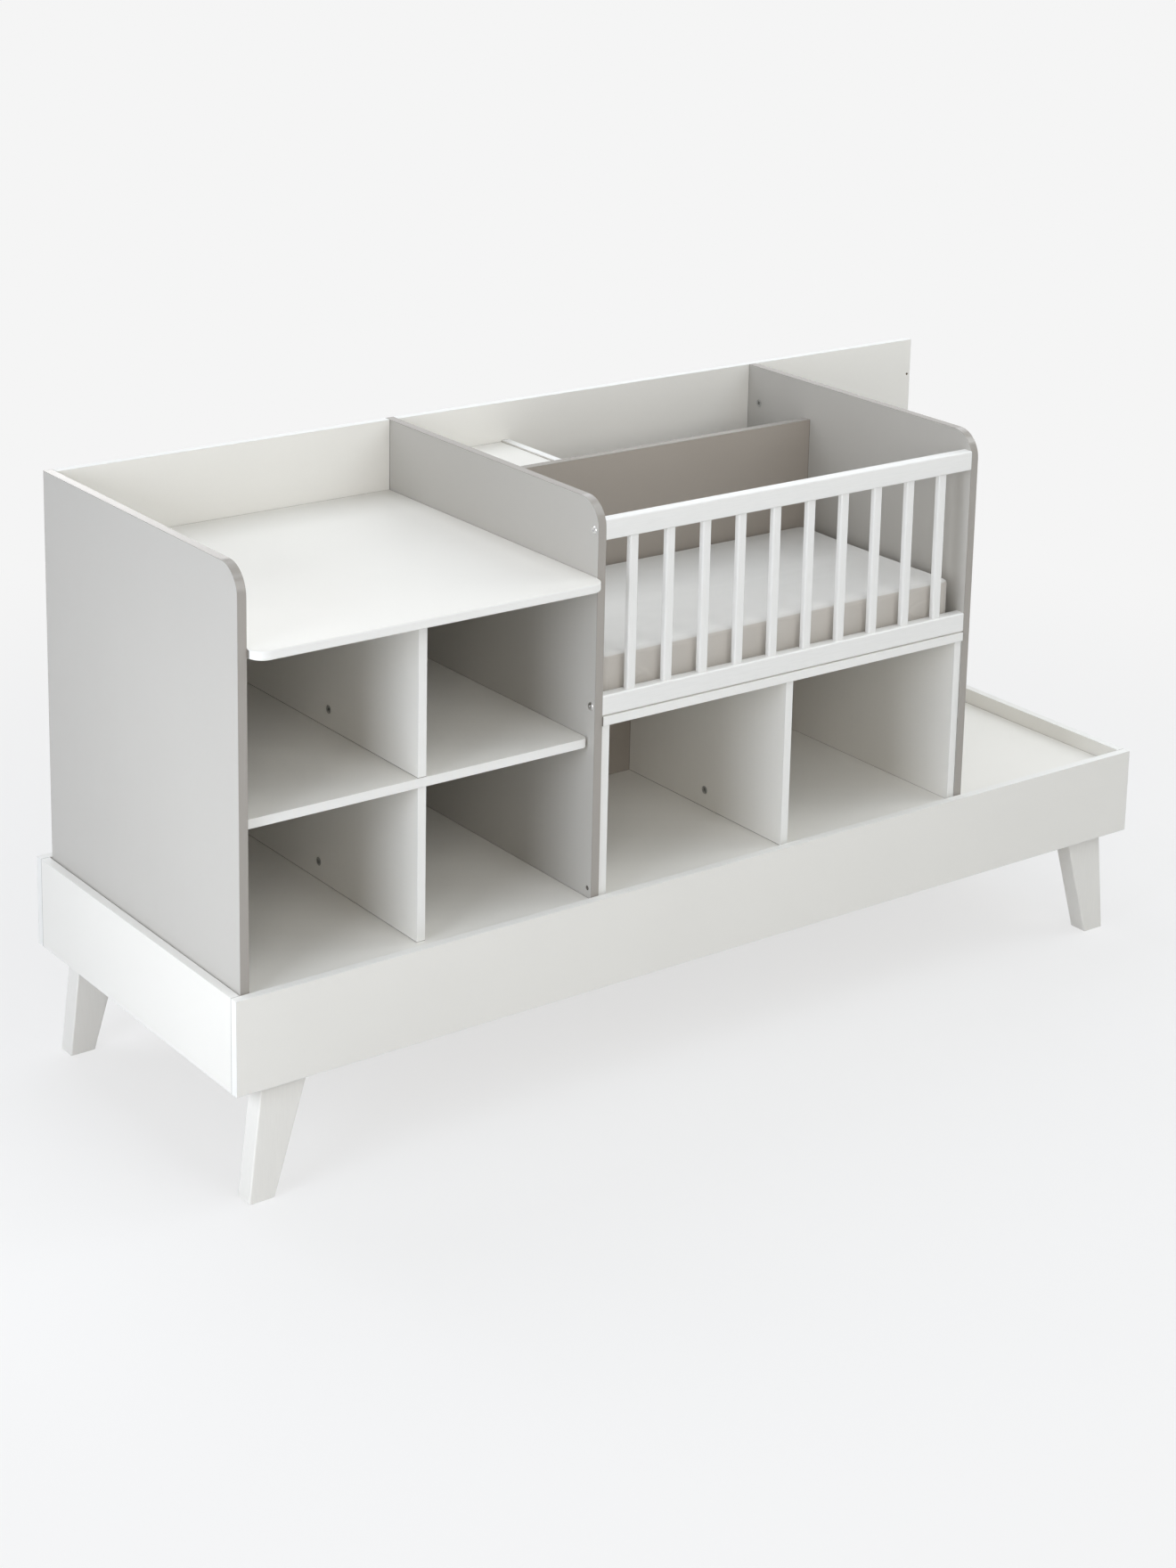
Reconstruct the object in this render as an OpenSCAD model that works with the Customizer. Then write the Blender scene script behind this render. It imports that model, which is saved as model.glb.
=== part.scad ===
// Crib with attached changer: a convertible baby bed in one long frame.
// A low bed frame on four splayed legs carries a changing unit with four
// compartments, a small slatted crib over two niches, and a narrow bay behind.
// Millimetres. X runs along the bed, the front faces -Y, Z is up, and the
// origin is at floor level in the middle of the whole footprint.

/* [Bed frame] */
// Length of the bed frame
bed_l = 2000; // [1900:5:2300]
// Depth of the bed frame
bed_d = 700; // [660:5:800]
// Thickness of the frame boards
board_t = 16; // [15:1:22]
// Height of the frame boards
board_h = 164; // [130:2:220]
// Clear height below the frame boards
ground_h = 204; // [140:2:260]
// Depth of the platform below the top of the frame boards
platform_drop = 30; // [20:1:60]
// Thickness of the platform panels
platform_t = 16; // [12:1:22]
// Width of the battens and cross rails, seen from above
batten_w = 30; // [20:1:45]
// Height of the battens and cross rails
batten_h = 30; // [20:1:45]

/* [Legs] */
// Thickness of a leg, front to back
leg_t = 38; // [30:1:50]
// Width of a leg at the foot
leg_foot_w = 48; // [36:1:60]
// Width of a leg where it meets the frame
leg_top_w = 86; // [60:1:110]
// Distance of the foot from the end of the frame
leg_inset = 30; // [20:1:80]
// How far the outer edge leans in between foot and frame
leg_splay = 24; // [0:1:50]
// Radius of the long edges of a leg
leg_edge_r = 3; // [1:0.5:6]

/* [Upright panels] */
// Thickness of the panels
panel_t = 16; // [15:1:20]
// Height of the upright panels above the platform
panel_h = 732; // [690:2:840]
// Radius of the top front corner of the side panels
panel_r = 50; // [20:1:90]
// Clearance between the frame boards and the panels
panel_gap = 2; // [1:0.5:4]
// Gap between the panels and the back board of the frame
back_gap = 8; // [1:1:30]

/* [Changer] */
// Clear width between the changer side panel and the middle panel
changer_w = 668; // [560:2:760]
// Clear height of one compartment
comp_h = 271; // [220:1:290]
// Gap between the platform and the bottom panels
floor_gap = 10; // [0:1:20]
// Setback of the dividers behind the panel fronts
divider_back = 18; // [4:1:60]
// Setback of the shelf behind the panel fronts
shelf_back = 16; // [2:1:60]
// How far the changing top stands in front of the panels
top_front = 28; // [22:1:40]
// Corner radius of the changing top
top_r = 28; // [10:1:40]
// Corner radius of the shelf
shelf_r = 12; // [4:1:30]
// Radius of the eased front edges of the changing top
ease_r = 3; // [1:0.5:5]

/* [Crib] */
// Clear width between the middle panel and the crib end panel
crib_w = 830; // [760:2:880]
// Clear depth between the gate and the partition
crib_d = 430; // [400:2:450]
// Clear height of the niches under the crib
niche_h = 310; // [270:1:340]
// Drop of the partition behind the crib below the panel tops
partition_drop = 72; // [40:2:120]
// How far the crib base stands in front of the panels
base_front = 2; // [0:0.5:4]
// Setback of the niche panels behind the panel fronts
niche_back = 2; // [0:0.5:20]
// Clearance between the niche sides and the upright panels
lining_gap = 1; // [0.5:0.5:3]

/* [Gate] */
// Drop of the gate's top below the panel tops
gate_drop = 34; // [20:1:60]
// Height of the gate rails
rail_h = 36; // [28:1:50]
// Thickness of the gate rails
rail_t = 22; // [18:1:28]
// Radius of the rail edges
rail_r = 3; // [1:0.5:6]
// Gap between the gate and the crib base
gate_gap = 1; // [0.5:0.5:3]
// Width of a bar
bar_w = 18; // [12:1:24]
// Thickness of a bar
bar_t = 12; // [8:1:16]
// Gap between two bars
bar_gap = 60; // [45:1:62]
// Radius of the bar edges
bar_r = 3; // [1:0.5:5]
// Depth of a bar's tenon in a rail
tenon_l = 12; // [8:1:20]

/* [Rear bay] */
// Clear width of the cabinet in the rear bay
rear_w = 232; // [160:2:400]
// Drop of its lid below the top of the partition
rear_lid_drop = 4; // [4:1:60]
// How far its side stands above its lid
rear_lip = 3; // [1:0.5:4]

/* [Mattress] */
// Length of the mattress
mattress_l = 810; // [740:2:820]
// Width of the mattress
mattress_w = 424; // [390:2:427]
// Thickness of the mattress at its edges
mattress_h = 97; // [60:1:110]
// Rise of the mattress towards its middle
crown_h = 3; // [2:1:14]
// Radius of the mattress edges
mattress_edge_r = 12; // [8:1:24]
// Radius of the upright mattress corners
mattress_corner_r = 24; // [20:1:60]
// How far the sides draw in between the corners
side_in = 3; // [0:0.5:12]
// Gap between the mattress and the crib base
soft_gap = 0.3; // [0.2:0.1:1]
// Gap between the mattress and the crib end panel
mattress_end_gap = 11; // [4:1:14]

/* [Fasteners] */
// Diameter of a cam lock
cam_d = 15; // [12:0.5:20]
// Depth of a cam lock
cam_l = 12.5; // [10:0.5:13]
// Distance of a cam lock from the panel's joining edge
cam_inset = 34; // [24:1:40]
// Distance of the upper and lower fasteners from the panel ends
joint_end = 73; // [50:1:110]
// Distance of the upper divider's cam lock from the panel fronts
upper_cam_in = 296; // [200:2:400]
// Distance of the lower divider's cam lock from the panel fronts
lower_cam_in = 329; // [200:1:400]
// Distance of the niche divider's cam lock from the panel fronts
niche_cam_in = 222; // [150:2:300]
// Diameter of a cam stud
stud_d = 7; // [5:0.5:8]
// Diameter of a dowel
dowel_d = 8; // [6:1:10]
// Length of a dowel
dowel_l = 30; // [25:1:40]
// Distance of a dowel from a board's front or back edge
dowel_edge = 100; // [60:5:140]
// Distance of a dowel from the edges of the narrow rear lid
rear_dowel_edge = 35; // [25:1:50]
// Depth of a blind hole in a panel face
blind_l = 11; // [8:0.5:12]
// Diameter of a gate bolt
bolt_d = 6; // [5:0.5:8]
// Diameter of a gate bolt's head
bolt_head_d = 14; // [12:0.5:18]
// Height of a gate bolt's head
bolt_head_h = 3; // [2:0.5:4]
// Length of a gate bolt's thread inside the rail
bolt_thread_l = 40; // [25:1:60]
// Diameter of a leg screw
leg_screw_d = 6; // [5:0.5:8]
// Height of the lower leg screws above the lower edge of the frame
leg_screw_up = 40; // [25:1:50]
// Distance between the two screws of a leg
leg_screw_pitch = 50; // [30:1:60]
// Depth of a leg screw in the long board
leg_screw_bite = 10; // [6:1:13]
// Number of screws in the front and the back batten
long_screw_n = 6; // [4, 6]
// Diameter of a batten screw
batten_screw_d = 4; // [3:0.5:5]
// Depth of a batten screw in a frame board
batten_screw_bite = 10; // [6:1:13]
// Diameter of the pre-drilled holes in the free end of the back panel
spare_hole_d = 5; // [4:0.5:8]
// Distance of those holes from the panel's end
spare_hole_in = 8; // [6:1:20]
// Diameter of the pre-drilled hole low in the middle panel
link_hole_d = 8; // [5:0.5:10]
// Height of that hole above the compartment floor
link_hole_up = 17; // [10:1:60]
// Radial clearance round every fastener
fit = 0.15; // [0.1:0.05:0.3]

/* [Hidden] */
$fn = 48;

white = "#f3f3f1";
grey = "#d0cdc8";
taupe = "#9b9189";
cotton = "#d3cdc5";
steel = "#b9bcc0";
beech = "#d8b98c";

// Plan of the frame: y_front is the front face of the frame's front board.
top_reach = top_front - panel_gap - board_t;
x_left = -bed_l / 2;
x_right = bed_l / 2;
y_front = top_reach - (bed_d + top_reach) / 2;
y_back = y_front + bed_d;

// Heights above the floor
z_frame_top = ground_h + board_h;
z_platform = z_frame_top - platform_drop;
z_under = z_platform - platform_t;
z_bottom = z_platform + floor_gap;
z_floor = z_bottom + panel_t;
z_shelf = z_floor + comp_h;
z_top = z_shelf + panel_t + comp_h;
z_base = z_floor + niche_h;
z_crib = z_base + panel_t;
z_gate = z_crib + gate_gap;
z_panel_top = z_platform + panel_h;
z_gate_top = z_panel_top - gate_drop;
z_partition_top = z_panel_top - partition_drop;
z_rear_lid = z_partition_top - rear_lid_drop - panel_t;

// Plan of the panels: the left face, or the front face, of each
x_side = x_left + board_t + panel_gap;
x_changer = x_side + panel_t;
x_mid = x_changer + changer_w;
x_crib = x_mid + panel_t;
x_end = x_crib + crib_w;
x_back_end = x_right - board_t - panel_gap;
x_divider = x_changer + (changer_w - panel_t) / 2;
x_niche = x_crib + lining_gap;
x_niche_in = x_niche + panel_t;
x_niche_out = x_end - lining_gap - panel_t;
x_niche_divider = (x_niche_in + x_niche_out - panel_t) / 2;
x_rear_side = x_crib + rear_w;
y_panel = y_front + board_t + panel_gap;
panel_d = bed_d - 2 * board_t - panel_gap - back_gap;
y_back_panel = y_panel + panel_d - panel_t;
y_partition = y_panel + rail_t + crib_d;
y_bay = y_partition + panel_t;
y_divider = y_panel + divider_back;
y_niche = y_panel + niche_back;
y_gate_mid = y_panel + rail_t / 2;

z_joint_high = z_panel_top - joint_end;
z_joint_low = z_platform + joint_end;
z_joint_mid = (z_joint_high + z_joint_low) / 2;
z_frame_cam = (ground_h + z_under) / 2;

// A cam lock is [point on the board's face, yaw, roll]: unturned, its face
// looks to -X and its stud points down.
CAM_UPPER = [[[x_divider, y_panel + upper_cam_in, z_shelf + panel_t + cam_inset], 0, 0]];
CAM_LOWER = [[[x_divider, y_panel + lower_cam_in, z_floor + cam_inset], 0, 0]];
CAM_NICHE = [[[x_niche_divider, y_panel + niche_cam_in, z_floor + cam_inset], 0, 0]];
CAMS_END = [for (z = [z_joint_low, z_joint_mid, z_joint_high])
    [[x_end, y_back_panel - cam_inset, z], 0, 90]];
CAMS_CHANGER_BACK_L = [for (z = [z_joint_low, z_joint_high])
    [[x_changer + cam_inset, y_back_panel + panel_t, z], -90, -90]];
CAMS_CHANGER_BACK_R = [for (z = [z_joint_low, z_joint_high])
    [[x_mid - cam_inset, y_back_panel + panel_t, z], -90, 90]];
CAMS_LONG_BACK = [for (z = [z_joint_low + cam_d + dowel_d, z_joint_high - cam_d - dowel_d])
    [[x_crib + cam_inset, y_back_panel + panel_t, z], -90, -90]];
CAM_FRONT_LEFT = [[[x_left + board_t, y_front + board_t + cam_inset, z_frame_cam], 180, 90]];
CAM_BACK_LEFT = [[[x_left + board_t, y_back - board_t - cam_inset, z_frame_cam], 180, -90]];
CAM_FRONT_RIGHT = [[[x_right - board_t, y_front + board_t + cam_inset, z_frame_cam], 0, -90]];
CAM_BACK_RIGHT = [[[x_right - board_t, y_back - board_t - cam_inset, z_frame_cam], 0, 90]];
CAMS_PANEL = concat(CAM_UPPER, CAM_LOWER, CAM_NICHE, CAMS_END,
    CAMS_CHANGER_BACK_L, CAMS_CHANGER_BACK_R, CAMS_LONG_BACK);
CAMS_FRAME = concat(CAM_FRONT_LEFT, CAM_BACK_LEFT, CAM_FRONT_RIGHT, CAM_BACK_RIGHT);

// Dowels along X are given by their left end, where a board of the given
// depth butts against a panel: into_left means that the panel is on the left.
function dowel_rows(y0, y1) = [y0 + dowel_edge, y1 - dowel_edge];
function dowels_into_left(x, ys, z) = [for (y = ys) [x - blind_l, y, z + panel_t / 2]];
function dowels_into_right(x, ys, z) =
    [for (y = ys) [x - dowel_l + blind_l, y, z + panel_t / 2]];
changer_rows = dowel_rows(y_panel, y_back_panel);
niche_rows = dowel_rows(y_niche, y_partition);
rear_rows = [y_bay + rear_dowel_edge, y_back_panel - rear_dowel_edge];
partition_heights = [z_crib - 2 * joint_end, z_partition_top - joint_end];
DOWELS_BOTTOM_L = dowels_into_left(x_changer, changer_rows, z_bottom);
DOWELS_BOTTOM_R = dowels_into_right(x_mid, changer_rows, z_bottom);
DOWELS_SHELF_L = dowels_into_left(x_changer, changer_rows, z_shelf);
DOWELS_SHELF_R = dowels_into_right(x_mid, changer_rows, z_shelf);
DOWELS_TOP_L = dowels_into_left(x_changer, changer_rows, z_top);
DOWELS_TOP_R = dowels_into_right(x_mid, changer_rows, z_top);
DOWELS_NICHE_L = dowels_into_left(x_niche_in, niche_rows, z_bottom);
DOWELS_NICHE_R = dowels_into_right(x_niche_out, niche_rows, z_bottom);
DOWELS_REAR_L = dowels_into_left(x_crib, rear_rows, z_rear_lid);
DOWELS_REAR_R = dowels_into_right(x_rear_side, rear_rows, z_rear_lid);
DOWELS_PARTITION_L = [for (z = partition_heights)
    [x_crib - blind_l, y_partition + panel_t / 2, z]];
DOWELS_PARTITION_R = [for (z = partition_heights)
    [x_end - dowel_l + blind_l, y_partition + panel_t / 2, z]];
DOWELS_ALONG_X = concat(DOWELS_BOTTOM_L, DOWELS_BOTTOM_R, DOWELS_SHELF_L, DOWELS_SHELF_R,
    DOWELS_TOP_L, DOWELS_TOP_R, DOWELS_NICHE_L, DOWELS_NICHE_R,
    DOWELS_REAR_L, DOWELS_REAR_R, DOWELS_PARTITION_L, DOWELS_PARTITION_R);
DOWELS_UPRIGHT = [for (x = [x_niche, x_niche_out], y = niche_rows)
    [x + panel_t / 2, y, z_base + blind_l - dowel_l]];

// Gate bolts: [point on the panel's outer face, direction along X]
gate_heights = [z_gate + rail_h / 2, z_gate_top - rail_h / 2];
BOLTS_LEFT = [for (z = gate_heights) [[x_mid, y_gate_mid, z], 1]];
BOLTS_RIGHT = [for (z = gate_heights) [[x_end + panel_t, y_gate_mid, z], -1]];

// A leg's edges at any height, measured from the near end of the frame
function leg_outer(z) = leg_inset + leg_splay * z / ground_h;
function leg_inner(z) = leg_inset + leg_foot_w
    + (leg_splay + leg_top_w - leg_foot_w) * z / ground_h;
leg_reach = leg_inner(z_under);
leg_screw_heights = [ground_h + leg_screw_up, ground_h + leg_screw_up + leg_screw_pitch];

// Battens run from leg to leg, and the cross rails from batten to batten
z_batten = z_under - batten_h;
batten_x0 = x_left + leg_reach;
batten_x1 = x_right - leg_reach;
batten_y0 = y_front + board_t;
batten_y1 = y_back - board_t - batten_w;
end_batten_y0 = y_front + board_t + leg_t;
end_batten_y1 = y_back - board_t - leg_t;
cross_w = 2 * batten_w;
x_seam = 0;
cross_x = [x_left / 2, x_seam, x_right / 2];
long_screws = [for (i = [0:long_screw_n - 1])
    batten_x0 + (batten_x1 - batten_x0) * (i + 0.5) / long_screw_n];
short_screws = [for (i = [0:2]) end_batten_y0 + (end_batten_y1 - end_batten_y0) * (i + 0.5) / 3];

// A box from one corner to the opposite one
module block(a, b) {
    translate(a) cube(b - a);
}

// Section with rounded corners, standing on its own centre
module rounded_section(w, h, r) {
    square([w - 2 * r, h], center = true);
    square([w, h - 2 * r], center = true);
    for (x = [-1, 1], y = [-1, 1])
        translate([x * (w / 2 - r), y * (h / 2 - r)]) circle(r);
}

// Outline of a board whose two front corners are rounded
module front_rounded(l, d, r) {
    translate([r, 0]) square([l - 2 * r, d]);
    translate([0, r]) square([l, d - r]);
    for (x = [r, l - r]) translate([x, r]) circle(r);
}

// ---- fasteners and their holes ----
module place_cam(c) {
    translate(c[0]) rotate([0, 0, c[1]]) rotate([c[2], 0, 0]) children();
}

module cam_hole(c, t) {
    place_cam(c) {
        rotate([0, 90, 0]) cylinder(d = cam_d + 2 * fit, h = cam_l + fit);
        translate([t / 2, 0, -cam_inset - blind_l])
            cylinder(d = stud_d + 2 * fit, h = cam_inset + blind_l);
    }
}

module cam_holes(cams, t) {
    for (c = cams) cam_hole(c, t);
}

module cam_lock(c, t) {
    slot_w = cam_d * 0.13;
    slot_l = cam_d * 0.6;
    slot_h = cam_l * 0.24;
    place_cam(c) difference() {
        rotate([0, 90, 0]) cylinder(d = cam_d, h = cam_l);
        for (a = [0, 90])
            rotate([a + 45, 0, 0]) translate([slot_h / 2, 0, 0])
                cube([slot_h + fit, slot_w, slot_l], center = true);
        translate([t / 2, 0, -cam_d]) cylinder(d = stud_d + 4 * fit, h = cam_d);
    }
}

module cam_stud(c, t) {
    neck_d = stud_d * 0.6;
    head_l = stud_d * 0.4;
    place_cam(c) translate([t / 2, 0, 0]) {
        translate([0, 0, -cam_inset - blind_l])
            cylinder(d = stud_d, h = cam_inset + blind_l - cam_d / 2);
        translate([0, 0, -cam_d / 2]) cylinder(d = neck_d, h = cam_d / 2 - 2 * fit);
        translate([0, 0, -head_l - 2 * fit]) cylinder(d = stud_d, h = head_l);
    }
}

module dowel_along_x(p, grow) {
    translate([p[0] - grow, p[1], p[2]]) rotate([0, 90, 0])
        cylinder(d = dowel_d + 2 * grow, h = dowel_l + 2 * grow);
}

module dowel_upright(p, grow) {
    translate([p[0], p[1], p[2] - grow])
        cylinder(d = dowel_d + 2 * grow, h = dowel_l + 2 * grow);
}

module dowel_holes(rows) {
    for (p = rows) dowel_along_x(p, fit);
}

// A gate bolt's shank, with the given growth, from the face of the panel
module bolt_shank(b, grow) {
    shank_l = panel_t + bolt_thread_l + grow;
    translate(b[0]) rotate([0, b[1] * 90, 0])
        cylinder(d = bolt_d + 2 * grow, h = shank_l);
}

module bolt(b) {
    dome_r = bolt_head_d / 2;
    socket_d = bolt_head_d / 3;
    bolt_shank(b, 0);
    translate(b[0]) rotate([0, -b[1] * 90, 0]) difference() {
        rotate_extrude() polygon([
            [0, 0], [dome_r, 0], [dome_r, bolt_head_h * 0.3],
            [dome_r * 0.82, bolt_head_h * 0.8], [dome_r * 0.5, bolt_head_h], [0, bolt_head_h]
        ]);
        translate([0, 0, bolt_head_h * 0.4]) cylinder(d = socket_d, h = bolt_head_h, $fn = 6);
    }
}

// Screws that hold a leg to the long board: end is -1 left or 1 right,
// and side is -1 front or 1 back
module leg_screw(end, side, z, grow) {
    x = end * (bed_l / 2 - (leg_outer(z) + leg_inner(z)) / 2);
    y_board = side < 0 ? y_front + board_t : y_back - board_t;
    translate([x, y_board + side * leg_screw_bite, z]) rotate([side * 90, 0, 0])
        cylinder(d = leg_screw_d + 2 * grow, h = leg_screw_bite + leg_t + grow);
}

module leg_screw_head(end, side, z) {
    head_h = leg_screw_d / 2;
    x = end * (bed_l / 2 - (leg_outer(z) + leg_inner(z)) / 2);
    y_leg = side < 0 ? y_front + board_t + leg_t : y_back - board_t - leg_t;
    translate([x, y_leg, z]) rotate([side * 90, 0, 0])
        cylinder(d1 = leg_screw_d * 2, d2 = leg_screw_d * 1.4, h = head_h);
}

module leg_screw_holes(end, side) {
    for (z = leg_screw_heights) leg_screw(end, side, z, fit);
}

// Screws through the front or back batten, and through an end batten
module long_batten_screw(side, x, grow) {
    y_board = side < 0 ? y_front + board_t : y_back - board_t;
    translate([x, y_board + side * batten_screw_bite, z_batten + batten_h / 2])
        rotate([side * 90, 0, 0])
            cylinder(d = batten_screw_d + 2 * grow, h = batten_screw_bite + batten_w);
}

module long_batten_head(side, x) {
    head_h = batten_screw_d / 2;
    y_face = side < 0 ? batten_y0 + batten_w : batten_y1;
    translate([x, y_face, z_batten + batten_h / 2]) rotate([side * 90, 0, 0])
        cylinder(d = batten_screw_d * 2, h = head_h);
}

module end_batten_screw(end, y, grow) {
    x_board = end * (bed_l / 2 - board_t);
    translate([x_board + end * batten_screw_bite, y, z_batten + batten_h / 2])
        rotate([0, -end * 90, 0])
            cylinder(d = batten_screw_d + 2 * grow, h = batten_screw_bite + batten_w);
}

module end_batten_head(end, y) {
    head_h = batten_screw_d / 2;
    translate([end * (bed_l / 2 - board_t - batten_w), y, z_batten + batten_h / 2])
        rotate([0, -end * 90, 0]) cylinder(d = batten_screw_d * 2, h = head_h);
}

// ---- bed frame ----
// A long board runs the full length and covers the end boards
module long_board(side, cams) {
    y0 = side < 0 ? y_front : y_back - board_t;
    color(white) difference() {
        block([x_left, y0, ground_h], [x_right, y0 + board_t, z_frame_top]);
        cam_holes(cams, board_t);
        for (end = [-1, 1]) leg_screw_holes(end, side);
        for (x = long_screws) long_batten_screw(side, x, fit);
    }
}

module end_board(end, cams) {
    x0 = end < 0 ? x_left : x_right - board_t;
    color(white) difference() {
        block([x0, y_front + board_t, ground_h], [x0 + board_t, y_back - board_t, z_frame_top]);
        cam_holes(cams, board_t);
        for (y = short_screws) end_batten_screw(end, y, fit);
    }
}

module frame_front_board() { long_board(-1, concat(CAM_FRONT_LEFT, CAM_FRONT_RIGHT)); }
module frame_back_board() { long_board(1, concat(CAM_BACK_LEFT, CAM_BACK_RIGHT)); }
module frame_left_board() { end_board(-1, concat(CAM_FRONT_LEFT, CAM_BACK_LEFT)); }
module frame_right_board() { end_board(1, concat(CAM_FRONT_RIGHT, CAM_BACK_RIGHT)); }

// A thin slice of the leg at height z, drawn in by the given amount all round
module leg_slice(z, in, h) {
    w = leg_inner(z) - leg_outer(z) - 2 * in;
    translate([leg_outer(z) + in + w / 2, leg_t / 2, z]) linear_extrude(h)
        rounded_section(w, leg_t - 2 * in, leg_edge_r);
}

// The leg narrows towards the foot and leans outwards; its top is hidden
// behind the long board and carries a corner of the platform
module leg_body() {
    slice = 0.01;
    hull() {
        leg_slice(0, leg_edge_r / 2, slice, $fn = 32);
        leg_slice(leg_edge_r / 2, 0, slice, $fn = 32);
        leg_slice(z_under - slice, 0, slice, $fn = 32);
    }
}

module leg(end, side) {
    color(white) difference() {
        translate([end * bed_l / 2, side < 0 ? y_front + board_t : y_back - board_t - leg_t, 0])
            mirror([end < 0 ? 0 : 1, 0, 0]) leg_body();
        leg_screw_holes(end, side);
    }
}

module leg_front_left() { leg(-1, -1); }
module leg_front_right() { leg(1, -1); }
module leg_back_left() { leg(-1, 1); }
module leg_back_right() { leg(1, 1); }

module platform(x0, x1) {
    color(white) block([x0, y_front + board_t, z_under], [x1, y_back - board_t, z_platform]);
}

module platform_left() { platform(x_left + board_t, x_seam); }
module platform_right() { platform(x_seam, x_right - board_t); }

module long_batten(side) {
    y0 = side < 0 ? batten_y0 : batten_y1;
    color(beech) difference() {
        block([batten_x0, y0, z_batten], [batten_x1, y0 + batten_w, z_under]);
        for (x = long_screws) long_batten_screw(side, x, fit);
    }
}

module end_batten(end) {
    x0 = end < 0 ? x_left + board_t : x_right - board_t - batten_w;
    color(beech) difference() {
        block([x0, end_batten_y0, z_batten], [x0 + batten_w, end_batten_y1, z_under]);
        for (y = short_screws) end_batten_screw(end, y, fit);
    }
}

module batten_front() { long_batten(-1); }
module batten_back() { long_batten(1); }
module batten_left() { end_batten(-1); }
module batten_right() { end_batten(1); }

module cross_rail(i) {
    color(beech) block([cross_x[i] - cross_w / 2, batten_y0 + batten_w, z_batten],
                       [cross_x[i] + cross_w / 2, batten_y1, z_under]);
}

module cross_rail_left() { cross_rail(0); }
module cross_rail_middle() { cross_rail(1); }
module cross_rail_right() { cross_rail(2); }

// ---- upright panels ----
// A side panel of depth d with its top front corner rounded
module side_panel(x, d) {
    translate([x, y_panel, z_platform]) rotate([90, 0, 90]) linear_extrude(panel_t) {
        square([d, panel_h - panel_r]);
        translate([panel_r, 0]) square([d - panel_r, panel_h]);
        translate([panel_r, panel_h - panel_r]) circle(panel_r, $fn = 96);
    }
}

module changer_side_panel() {
    color(grey) difference() {
        side_panel(x_side, panel_d);
        dowel_holes(concat(DOWELS_BOTTOM_L, DOWELS_SHELF_L, DOWELS_TOP_L));
        cam_holes(CAMS_CHANGER_BACK_L, panel_t);
    }
}

module middle_panel() {
    color(grey) difference() {
        side_panel(x_mid, panel_d);
        dowel_holes(concat(DOWELS_BOTTOM_R, DOWELS_SHELF_R, DOWELS_TOP_R));
        dowel_holes(concat(DOWELS_REAR_L, DOWELS_PARTITION_L));
        cam_holes(concat(CAMS_CHANGER_BACK_R, CAMS_LONG_BACK), panel_t);
        for (b = BOLTS_LEFT) bolt_shank(b, fit);
        translate([x_mid - 1, y_gate_mid, z_floor + link_hole_up]) rotate([0, 90, 0])
            cylinder(d = link_hole_d, h = panel_t + 2);
    }
}

module crib_end_panel() {
    color(grey) difference() {
        side_panel(x_end, panel_d - panel_t);
        dowel_holes(DOWELS_PARTITION_R);
        cam_holes(CAMS_END, panel_t);
        for (b = BOLTS_RIGHT) bolt_shank(b, fit);
    }
}

module changer_back_panel() {
    color(white) difference() {
        block([x_changer, y_back_panel, z_platform], [x_mid, y_back_panel + panel_t, z_panel_top]);
        cam_holes(concat(CAMS_CHANGER_BACK_L, CAMS_CHANGER_BACK_R), panel_t);
    }
}

module long_back_panel() {
    color(white) difference() {
        block([x_crib, y_back_panel, z_platform],
              [x_back_end, y_back_panel + panel_t, z_panel_top]);
        cam_holes(concat(CAMS_LONG_BACK, CAMS_END), panel_t);
        for (z = [z_joint_low, z_joint_high])
            translate([x_back_end - spare_hole_in, y_back_panel - 1, z]) rotate([-90, 0, 0])
                cylinder(d = spare_hole_d, h = panel_t + 2);
    }
}

module partition_panel() {
    color(taupe) difference() {
        block([x_crib, y_partition, z_platform], [x_end, y_bay, z_partition_top]);
        dowel_holes(concat(DOWELS_PARTITION_L, DOWELS_PARTITION_R));
    }
}

// ---- changer ----
module changer_bottom() {
    color(white) difference() {
        block([x_changer, y_panel, z_bottom], [x_mid, y_back_panel, z_floor]);
        dowel_holes(concat(DOWELS_BOTTOM_L, DOWELS_BOTTOM_R));
        cam_holes(CAM_LOWER, panel_t);
    }
}

module divider(z0, z1, cams) {
    color(white) difference() {
        block([x_divider, y_divider, z0], [x_divider + panel_t, y_back_panel, z1]);
        cam_holes(cams, panel_t);
    }
}

module divider_lower() { divider(z_floor, z_shelf, CAM_LOWER); }
module divider_upper() { divider(z_shelf + panel_t, z_top, CAM_UPPER); }

module changer_shelf() {
    color(white) difference() {
        translate([x_changer, y_panel + shelf_back, z_shelf]) linear_extrude(panel_t)
            front_rounded(changer_w, y_back_panel - y_panel - shelf_back, shelf_r);
        dowel_holes(concat(DOWELS_SHELF_L, DOWELS_SHELF_R));
        cam_holes(CAM_UPPER, panel_t);
    }
}

// The changing top has rounded front corners and an eased front edge,
// swept round both corners
module eased_top(l, d, r, e) {
    translate([0, 0, e]) linear_extrude(panel_t - 2 * e) front_rounded(l, d, r);
    linear_extrude(panel_t) {
        translate([r, e]) square([l - 2 * r, d - e]);
        translate([0, r]) square([l, d - r]);
        for (x = [r, l - r]) translate([x, r]) circle(r - e);
    }
    for (z = [e, panel_t - e]) {
        translate([r, e, z]) rotate([0, 90, 0]) cylinder(r = e, h = l - 2 * r);
        for (x = [r, l - r]) translate([x, r, z]) rotate([0, 0, x > r ? -90 : 180])
            rotate_extrude(angle = 90) translate([r - e, 0]) circle(e);
    }
}

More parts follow.
